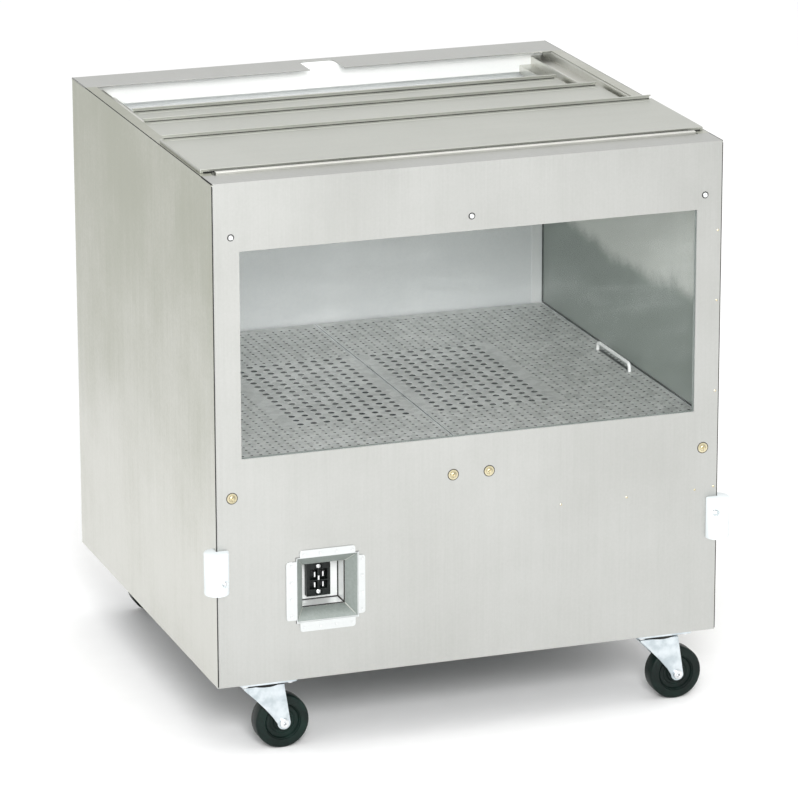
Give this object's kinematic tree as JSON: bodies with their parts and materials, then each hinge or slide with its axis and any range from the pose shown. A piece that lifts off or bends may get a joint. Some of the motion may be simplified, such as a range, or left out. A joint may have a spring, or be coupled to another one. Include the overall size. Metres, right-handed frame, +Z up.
{
  "type": "proofing cabinet",
  "caption": "Stainless steel dough proofing cabinet on swivel casters with telescoping sliding lids, a front window and a perforated false floor.",
  "frame": {"origin": "on the ground, under the middle of the cabinet's outline with its corner bumpers", "axes": "+Z up, the window faces -Y, +X is to the right seen from the front"},
  "size_m": [0.76, 0.689, 0.8151],
  "materials": {
    "stainless": "brushed",
    "galvanised": "satin",
    "zinc": "bright plated",
    "screw_brass": "satin",
    "nylon": "satin",
    "wheel": "matte",
    "glass": "clear",
    "socket": "satin"
  },
  "bodies": {
    "cabinet": {"front_panel": "stainless", "side_panel_left": "stainless", "side_panel_right": "stainless", "back_panel": "stainless", "front_coaming": "stainless", "rear_rail": "stainless", "track_left": "stainless", "track_right": "stainless", "window_retainer": "stainless", "water_pan": "stainless", "inlet_bezel": "stainless", "inlet_box": "stainless", "bottom_pan": "galvanised", "base_channel_front": "galvanised", "base_channel_rear": "galvanised", "floor_ledge_left": "galvanised", "floor_ledge_right": "galvanised", "floor_ledge_front": "galvanised", "floor_ledge_rear": "galvanised", "floor_beam": "galvanised", "pan_stand": "galvanised", "heater_strip": "zinc", "caster_plate_front_left": "zinc", "caster_plate_front_right": "zinc", "caster_plate_rear_left": "zinc", "caster_plate_rear_right": "zinc", "window_screw_left": "zinc", "window_screw_centre": "zinc", "window_screw_right": "zinc", "bumper_screw_left": "zinc", "bumper_screw_right": "zinc", "ledge_screw_1": "screw_brass", "ledge_screw_2": "screw_brass", "ledge_screw_3": "screw_brass", "ledge_screw_4": "screw_brass", "bumper_left": "nylon", "bumper_right": "nylon", "window_pane": "glass", "power_inlet": "socket", "thermostat": "socket"},
    "lid_front": {"lid_front": "stainless"},
    "lid_middle": {"lid_middle": "stainless"},
    "lid_rear": {"lid_rear": "stainless"},
    "floor_panel_left": {"floor_panel_left": "galvanised", "floor_handle_left": "zinc"},
    "floor_panel_right": {"floor_panel_right": "galvanised", "floor_handle_right": "zinc"},
    "swivel_front_left": {"caster_fork_front_left": "zinc", "caster_axle_front_left": "zinc"},
    "wheel_front_left": {"caster_wheel_front_left": "wheel"},
    "swivel_front_right": {"caster_fork_front_right": "zinc", "caster_axle_front_right": "zinc"},
    "wheel_front_right": {"caster_wheel_front_right": "wheel"},
    "swivel_rear_left": {"caster_fork_rear_left": "zinc", "caster_axle_rear_left": "zinc"},
    "wheel_rear_left": {"caster_wheel_rear_left": "wheel"},
    "swivel_rear_right": {"caster_fork_rear_right": "zinc", "caster_axle_rear_right": "zinc"},
    "wheel_rear_right": {"caster_wheel_rear_right": "wheel"}
  },
  "joints": [
    {"name": "lid_front_slide", "type": "slide", "parent": "cabinet", "child": "lid_front", "axis": [0, 1, 0], "range_m": [-0.007, 0.4243]},
    {"name": "lid_middle_slide", "type": "slide", "parent": "cabinet", "child": "lid_middle", "axis": [0, 1, 0], "range_m": [-0.1615, 0.2328]},
    {"name": "lid_rear_slide", "type": "slide", "parent": "cabinet", "child": "lid_rear", "axis": [0, 1, 0], "range_m": [-0.277, 0.1173]},
    {"name": "floor_panel_left_lift", "type": "slide", "parent": "cabinet", "child": "floor_panel_left", "axis": [0, 0, 1], "range_m": [0, 0.3]},
    {"name": "floor_panel_right_lift", "type": "slide", "parent": "cabinet", "child": "floor_panel_right", "axis": [0, 0, 1], "range_m": [0, 0.3]},
    {"name": "swivel_front_left_turn", "type": "hinge", "parent": "cabinet", "child": "swivel_front_left", "pos_m": [-0.2895, -0.2925, 0.055], "axis": [0, 0, 1], "continuous": true},
    {"name": "wheel_front_left_roll", "type": "hinge", "parent": "swivel_front_left", "child": "wheel_front_left", "pos_m": [-0.2645, -0.2925, 0.038], "axis": [0, 1, 0], "continuous": true},
    {"name": "swivel_front_right_turn", "type": "hinge", "parent": "cabinet", "child": "swivel_front_right", "pos_m": [0.2895, -0.2925, 0.055], "axis": [0, 0, 1], "continuous": true},
    {"name": "wheel_front_right_roll", "type": "hinge", "parent": "swivel_front_right", "child": "wheel_front_right", "pos_m": [0.3145, -0.2925, 0.038], "axis": [0, 1, 0], "continuous": true},
    {"name": "swivel_rear_left_turn", "type": "hinge", "parent": "cabinet", "child": "swivel_rear_left", "pos_m": [-0.2895, 0.3095, 0.055], "axis": [0, 0, 1], "continuous": true},
    {"name": "wheel_rear_left_roll", "type": "hinge", "parent": "swivel_rear_left", "child": "wheel_rear_left", "pos_m": [-0.2645, 0.3095, 0.038], "axis": [0, 1, 0], "continuous": true},
    {"name": "swivel_rear_right_turn", "type": "hinge", "parent": "cabinet", "child": "swivel_rear_right", "pos_m": [0.2895, 0.3095, 0.055], "axis": [0, 0, 1], "continuous": true},
    {"name": "wheel_rear_right_roll", "type": "hinge", "parent": "swivel_rear_right", "child": "wheel_rear_right", "pos_m": [0.3145, 0.3095, 0.038], "axis": [0, 1, 0], "continuous": true}
  ]
}
